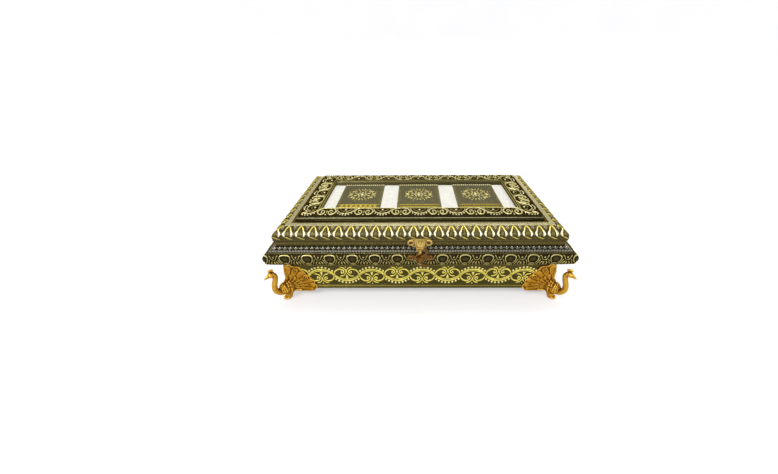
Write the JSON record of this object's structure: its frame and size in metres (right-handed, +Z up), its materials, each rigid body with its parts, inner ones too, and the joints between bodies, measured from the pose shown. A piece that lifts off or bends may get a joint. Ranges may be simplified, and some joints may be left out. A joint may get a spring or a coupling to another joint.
{
  "type": "jewellery box",
  "caption": "Rectangular wooden box clad in embossed antiqued sheet metal, with a hinged lid, swing-hook clasp and cast peacock corner feet.",
  "frame": {"origin": "on the floor under the middle of the box", "axes": "+X along the length, -Y towards the front with the clasp, +Z up"},
  "size_m": [0.3144, 0.1821, 0.0899],
  "materials": {
    "antiqued_sheet": "embossed, dark ground with gilt relief",
    "dark_tile_sheet": "embossed, almost black with small gilt petals",
    "white_enamel_sheet": "white enamel over fine scroll embossing",
    "cast_brass": "cast, worn bright on the high spots",
    "clasp_brass": "pressed, tarnished",
    "fixing_brass": "plain, dull",
    "red_velvet": "short pile",
    "stained_wood": "dark stain, unpolished"
  },
  "bodies": {
    "base": {"foot_pins": "fixing_brass", "hinge_rim_screws": "fixing_brass", "latch_pins": "fixing_brass", "pivot_rivet": "clasp_brass", "bottom_board": "stained_wood", "floor_pad": "red_velvet", "wall_cladding": "antiqued_sheet", "rim_cladding": "antiqued_sheet", "latch_plate": "clasp_brass", "tray_front_board": "stained_wood", "tray_back_board": "stained_wood", "tray_left_board": "stained_wood", "tray_right_board": "stained_wood", "lining_front": "red_velvet", "lining_back": "red_velvet", "lining_left": "red_velvet", "lining_right": "red_velvet", "rim_moulding_front": "stained_wood", "rim_moulding_back": "stained_wood", "rim_moulding_left": "stained_wood", "rim_moulding_right": "stained_wood", "hinge_left_rim_leaf": "fixing_brass", "hinge_left_pin": "fixing_brass", "hinge_right_rim_leaf": "fixing_brass", "hinge_right_pin": "fixing_brass", "peacock_foot_front_left": "cast_brass", "peacock_foot_front_right": "cast_brass", "peacock_foot_back_left": "cast_brass", "peacock_foot_back_right": "cast_brass"},
    "lid": {"hinge_lid_screws": "fixing_brass", "keeper_pins": "fixing_brass", "keeper_plate": "clasp_brass", "lid_cladding": "antiqued_sheet", "frame_cladding": "antiqued_sheet", "lid_board": "stained_wood", "panel_sheet": "white_enamel_sheet", "lid_pad": "red_velvet", "lid_edge_lining": "red_velvet", "rosette_tile_left": "dark_tile_sheet", "rosette_tile_centre": "dark_tile_sheet", "rosette_tile_right": "dark_tile_sheet", "lid_moulding_front": "stained_wood", "lid_moulding_back": "stained_wood", "lid_moulding_left": "stained_wood", "lid_moulding_right": "stained_wood", "frame_rail_front": "stained_wood", "frame_rail_back": "stained_wood", "frame_rail_left": "stained_wood", "frame_rail_right": "stained_wood", "hinge_left_lid_leaf": "fixing_brass", "hinge_right_lid_leaf": "fixing_brass"},
    "hook": {"swing_hook": "clasp_brass"}
  },
  "joints": [
    {"name": "lid_hinge", "type": "hinge", "parent": "base", "child": "lid", "pos_m": [0, 0.0796, 0.06665], "axis": [-1, 0, 0], "range_deg": [0, 138]},
    {"name": "hook_pivot", "type": "hinge", "parent": "base", "child": "hook", "pos_m": [0, -0.0886, 0.0608], "axis": [0, 1, 0], "range_deg": [-18, 75]}
  ]
}
